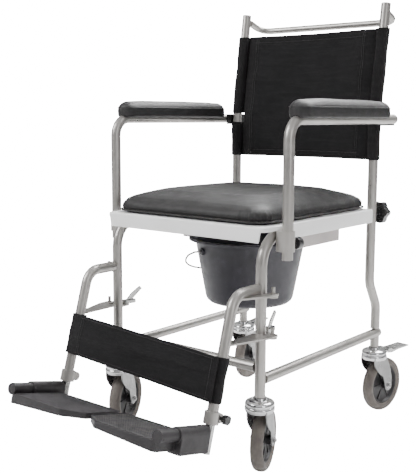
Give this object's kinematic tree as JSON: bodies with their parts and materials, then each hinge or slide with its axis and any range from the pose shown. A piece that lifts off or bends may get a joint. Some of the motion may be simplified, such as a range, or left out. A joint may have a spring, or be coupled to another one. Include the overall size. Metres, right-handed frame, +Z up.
{
  "type": "commode chair",
  "caption": "Wheeled steel-tube commode chair with a pail on runners, lift-off cushion and armrests, sling back with push bar, and swing-away legrests.",
  "frame": {"origin": "on the floor at the middle of the chair's box", "axes": "+Z up, the sitter faces -Y, +X is the sitter's left"},
  "size_m": [0.516, 0.9032, 0.9716],
  "materials": {
    "silver_paint": "satin silver-grey stove enamel",
    "zinc_plate": "bright zinc plate",
    "white_plastic": "white moulded plastic, satin",
    "black_vinyl": "black grained vinyl upholstery",
    "black_nylon": "black woven nylon",
    "black_plastic": "black moulded plastic, light sheen",
    "charcoal_plastic": "charcoal moulded plastic, fine texture",
    "pail_plastic": "dark blue-grey plastic, satin",
    "runner_plastic": "pale warm grey plastic",
    "tyre_rubber": "warm grey rubber, matt"
  },
  "bodies": {
    "frame": {"side_frame_left": "silver_paint", "side_frame_right": "silver_paint", "rear_leg_left": "silver_paint", "rear_leg_right": "silver_paint", "lower_rail_left": "silver_paint", "lower_rail_right": "silver_paint", "front_cross_tube": "silver_paint", "rear_cross_tube": "silver_paint", "arm_socket_left": "silver_paint", "arm_socket_right": "silver_paint", "seat_plate": "white_plastic", "pail_runner_left": "runner_plastic", "pail_runner_right": "runner_plastic"},
    "backrest": {"back_upright_left": "silver_paint", "back_upright_right": "silver_paint", "push_bar": "silver_paint", "back_upholstery": "black_nylon", "arm_cradle_left": "black_plastic", "arm_cradle_right": "black_plastic"},
    "back_knob_left": {"back_knob_left": "black_plastic"},
    "armrest_left": {"armrest_tube_left": "silver_paint", "arm_pad_left": "black_vinyl"},
    "arm_knob_left": {"arm_knob_left": "black_plastic"},
    "back_knob_right": {"back_knob_right": "black_plastic"},
    "armrest_right": {"armrest_tube_right": "silver_paint", "arm_pad_right": "black_vinyl"},
    "arm_knob_right": {"arm_knob_right": "black_plastic"},
    "seat_cushion": {"seat_cushion": "black_vinyl"},
    "pail": {"pail": "pail_plastic"},
    "pail_bail": {"pail_bail": "zinc_plate"},
    "legrest_left": {"legrest_tube_left": "silver_paint", "clamp_collar_left": "silver_paint", "strap_loop": "black_nylon"},
    "latch_left": {"latch_lever_left": "zinc_plate"},
    "clamp_knob_left": {"clamp_knob_left": "black_plastic"},
    "stem_left": {"footrest_stem_left": "zinc_plate"},
    "footplate_left": {"footplate_left": "charcoal_plastic"},
    "legrest_right": {"legrest_tube_right": "silver_paint", "clamp_collar_right": "silver_paint", "calf_strap": "black_nylon"},
    "latch_right": {"latch_lever_right": "zinc_plate"},
    "clamp_knob_right": {"clamp_knob_right": "black_plastic"},
    "stem_right": {"footrest_stem_right": "zinc_plate"},
    "footplate_right": {"footplate_right": "charcoal_plastic"},
    "castor_front_left": {"castor_fork_front_left": "zinc_plate"},
    "wheel_front_left": {"castor_tyre_front_left": "tyre_rubber", "castor_hub_front_left": "black_plastic"},
    "castor_front_right": {"castor_fork_front_right": "zinc_plate"},
    "wheel_front_right": {"castor_tyre_front_right": "tyre_rubber", "castor_hub_front_right": "black_plastic"},
    "castor_rear_left": {"castor_fork_rear_left": "zinc_plate"},
    "wheel_rear_left": {"castor_tyre_rear_left": "tyre_rubber", "castor_hub_rear_left": "black_plastic"},
    "brake_rear_left": {"brake_pedal_rear_left": "zinc_plate"},
    "castor_rear_right": {"castor_fork_rear_right": "zinc_plate"},
    "wheel_rear_right": {"castor_tyre_rear_right": "tyre_rubber", "castor_hub_rear_right": "black_plastic"},
    "brake_rear_right": {"brake_pedal_rear_right": "zinc_plate"}
  },
  "joints": [
    {"name": "backrest_lift", "type": "slide", "parent": "frame", "child": "backrest", "axis": [0, 0, 1], "range_m": [0, 0.12]},
    {"name": "back_knob_left_turn", "type": "hinge", "parent": "frame", "child": "back_knob_left", "pos_m": [0.197, 0.3048, 0.491], "axis": [0, 1, 0], "continuous": true},
    {"name": "armrest_left_lift", "type": "slide", "parent": "frame", "child": "armrest_left", "axis": [0, 0, 1], "range_m": [0, 0.12]},
    {"name": "arm_knob_left_turn", "type": "hinge", "parent": "frame", "child": "arm_knob_left", "pos_m": [0.233, -0.0957, 0.468], "axis": [0, 1, 0], "continuous": true},
    {"name": "back_knob_right_turn", "type": "hinge", "parent": "frame", "child": "back_knob_right", "pos_m": [-0.197, 0.3048, 0.491], "axis": [0, 1, 0], "continuous": true},
    {"name": "armrest_right_lift", "type": "slide", "parent": "frame", "child": "armrest_right", "axis": [0, 0, 1], "range_m": [0, 0.12]},
    {"name": "arm_knob_right_turn", "type": "hinge", "parent": "frame", "child": "arm_knob_right", "pos_m": [-0.233, -0.0957, 0.468], "axis": [0, 1, 0], "continuous": true},
    {"name": "cushion_lift", "type": "slide", "parent": "frame", "child": "seat_cushion", "axis": [0, 0, 1], "range_m": [0, 0.15]},
    {"name": "pail_slide", "type": "slide", "parent": "frame", "child": "pail", "axis": [0, 1, 0], "range_m": [0, 0.32]},
    {"name": "bail_swing", "type": "hinge", "parent": "pail", "child": "pail_bail", "pos_m": [0, 0.0855, 0.4153], "axis": [-0.3899, -0.9208, 0], "range_deg": [-14, 12]},
    {"name": "legrest_left_swing", "type": "hinge", "parent": "frame", "child": "legrest_left", "pos_m": [0.225, -0.1435, 0.383], "axis": [0, 0, 1], "range_deg": [0, 90]},
    {"name": "latch_left_turn", "type": "hinge", "parent": "frame", "child": "latch_left", "pos_m": [0.197, -0.121, 0.2919], "axis": [0, 0, 1], "range_deg": [0, 35]},
    {"name": "clamp_knob_left_turn", "type": "hinge", "parent": "legrest_left", "child": "clamp_knob_left", "pos_m": [0.2036, -0.27675, 0.15979], "axis": [1, 0, 0], "continuous": true},
    {"name": "stem_left_height", "type": "slide", "parent": "legrest_left", "child": "stem_left", "axis": [0, -0.2856, -0.9584], "range_m": [0, 0.055]},
    {"name": "footplate_left_fold", "type": "hinge", "parent": "stem_left", "child": "footplate_left", "pos_m": [0.197, -0.30336, 0.1405], "axis": [0, -0.9724, 0.2334], "range_deg": [0, 95]},
    {"name": "legrest_right_swing", "type": "hinge", "parent": "frame", "child": "legrest_right", "pos_m": [-0.225, -0.1435, 0.383], "axis": [0, 0, -1], "range_deg": [0, 90]},
    {"name": "latch_right_turn", "type": "hinge", "parent": "frame", "child": "latch_right", "pos_m": [-0.197, -0.121, 0.2919], "axis": [0, 0, -1], "range_deg": [0, 35]},
    {"name": "clamp_knob_right_turn", "type": "hinge", "parent": "legrest_right", "child": "clamp_knob_right", "pos_m": [-0.2036, -0.27675, 0.15979], "axis": [-1, 0, 0], "continuous": true},
    {"name": "stem_right_height", "type": "slide", "parent": "legrest_right", "child": "stem_right", "axis": [0, -0.2856, -0.9584], "range_m": [0, 0.055]},
    {"name": "footplate_right_fold", "type": "hinge", "parent": "stem_right", "child": "footplate_right", "pos_m": [-0.197, -0.30336, 0.1405], "axis": [0, 0.9724, -0.2334], "range_deg": [0, 95]},
    {"name": "castor_front_left_swivel", "type": "hinge", "parent": "frame", "child": "castor_front_left", "pos_m": [0.197, -0.1445, 0.165], "axis": [0, 0, 1], "continuous": true},
    {"name": "wheel_front_left_spin", "type": "hinge", "parent": "castor_front_left", "child": "wheel_front_left", "pos_m": [0.18482, -0.11276, 0.0655], "axis": [0.9336, 0.3584, 0], "continuous": true},
    {"name": "castor_front_right_swivel", "type": "hinge", "parent": "frame", "child": "castor_front_right", "pos_m": [-0.197, -0.1445, 0.165], "axis": [0, 0, 1], "continuous": true},
    {"name": "wheel_front_right_spin", "type": "hinge", "parent": "castor_front_right", "child": "wheel_front_right", "pos_m": [-0.20751, -0.11216, 0.0655], "axis": [0.9511, 0.309, 0], "continuous": true},
    {"name": "castor_rear_left_swivel", "type": "hinge", "parent": "frame", "child": "castor_rear_left", "pos_m": [0.197, 0.3285, 0.165], "axis": [0, 0, 1], "continuous": true},
    {"name": "wheel_rear_left_spin", "type": "hinge", "parent": "castor_rear_left", "child": "wheel_rear_left", "pos_m": [0.20173, 0.36217, 0.0655], "axis": [0.9903, -0.1392, 0], "continuous": true},
    {"name": "brake_rear_left_press", "type": "hinge", "parent": "castor_rear_left", "child": "brake_rear_left", "pos_m": [0.20284, 0.37009, 0.1495], "axis": [-0.9903, 0.1392, 0], "range_deg": [0, 7]},
    {"name": "castor_rear_right_swivel", "type": "hinge", "parent": "frame", "child": "castor_rear_right", "pos_m": [-0.197, 0.3285, 0.165], "axis": [0, 0, 1], "continuous": true},
    {"name": "wheel_rear_right_spin", "type": "hinge", "parent": "castor_rear_right", "child": "wheel_rear_right", "pos_m": [-0.20232, 0.36208, 0.0655], "axis": [0.9877, 0.1564, 0], "continuous": true},
    {"name": "brake_rear_right_press", "type": "hinge", "parent": "castor_rear_right", "child": "brake_rear_right", "pos_m": [-0.20357, 0.36998, 0.1495], "axis": [-0.9877, -0.1564, 0], "range_deg": [0, 7]}
  ]
}
